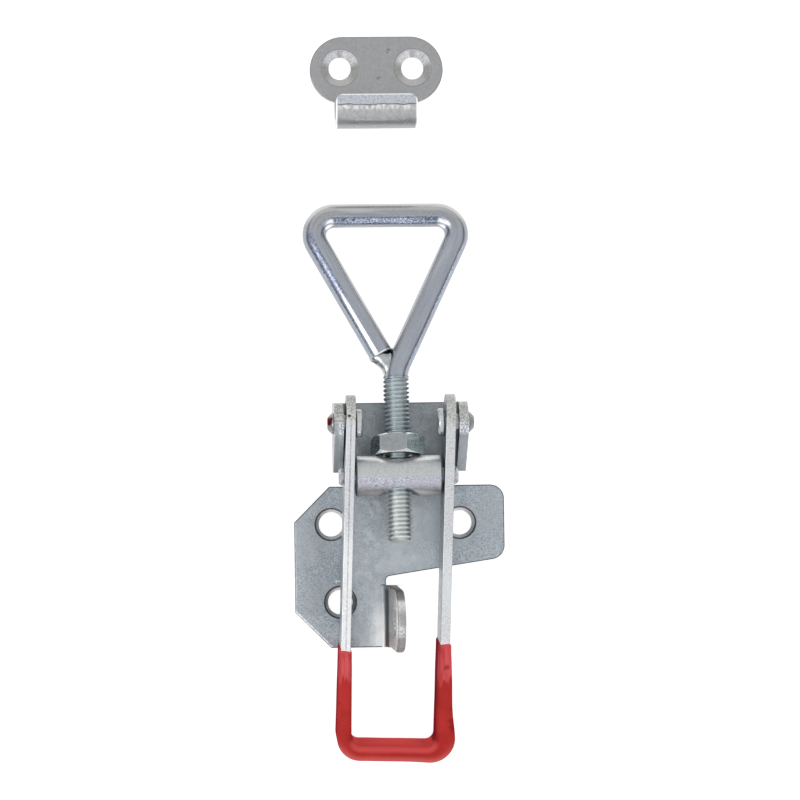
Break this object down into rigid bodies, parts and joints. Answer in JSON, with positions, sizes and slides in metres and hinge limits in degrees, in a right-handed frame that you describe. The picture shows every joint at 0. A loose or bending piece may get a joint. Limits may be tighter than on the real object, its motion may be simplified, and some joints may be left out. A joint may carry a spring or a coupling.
{
  "type": "over centre toggle latch",
  "caption": "Adjustable over centre toggle latch: looped pull rod, U-shaped lever with dipped grip, flat base with padlock eye, and a hooked strike plate.",
  "frame": {"origin": "on the base plate's mounting face, straight below the middle of the handle's pivot axis", "axes": "+X across the latch, along the pivot axis; +Y along the pull rod towards the strike; +Z out of the mounting face"},
  "size_m": [0.0482, 0.1654, 0.0273],
  "materials": {
    "zinc_plate": "zinc plated, dull and mottled",
    "zinc_handle": "zinc plated, bright cut edges",
    "zinc_rod": "bright zinc plate on drawn wire",
    "zinc_small": "bright zinc plate, turned",
    "zinc_strike": "smooth zinc plate",
    "red_vinyl": "glossy dipped vinyl"
  },
  "bodies": {
    "base": {"base_plate": "zinc_plate", "pivot_rivet_left": "zinc_small", "pivot_rivet_right": "zinc_small", "strike_plate": "zinc_strike"},
    "handle": {"handle": "zinc_handle", "grip": "red_vinyl"},
    "trunnion": {"trunnion": "zinc_small"},
    "pull_rod": {"pull_rod": "zinc_rod"},
    "lock_nut": {"lock_nut": "zinc_small"}
  },
  "joints": [
    {"name": "handle_hinge", "type": "hinge", "parent": "base", "child": "handle", "pos_m": [0, 0, 0.0152], "axis": [-1, 0, 0], "range_deg": [0, 165]},
    {"name": "trunnion_turn", "type": "hinge", "parent": "handle", "child": "trunnion", "pos_m": [0, -0.01191, 0.01376], "axis": [-1, 0, 0], "range_deg": [-178, 2]},
    {"name": "rod_adjust", "type": "slide", "parent": "trunnion", "child": "pull_rod", "axis": [0, 0.9831, -0.1828], "range_m": [-0.009, 0.009]},
    {"name": "nut_turn", "type": "hinge", "parent": "trunnion", "child": "lock_nut", "pos_m": [-0.00058, -0.01191, 0.01376], "axis": [0, 0.9831, -0.1828], "continuous": true}
  ],
  "couplings": [
    {"joint": "trunnion_turn", "follows": "handle_hinge", "ratio": -1.07}
  ]
}
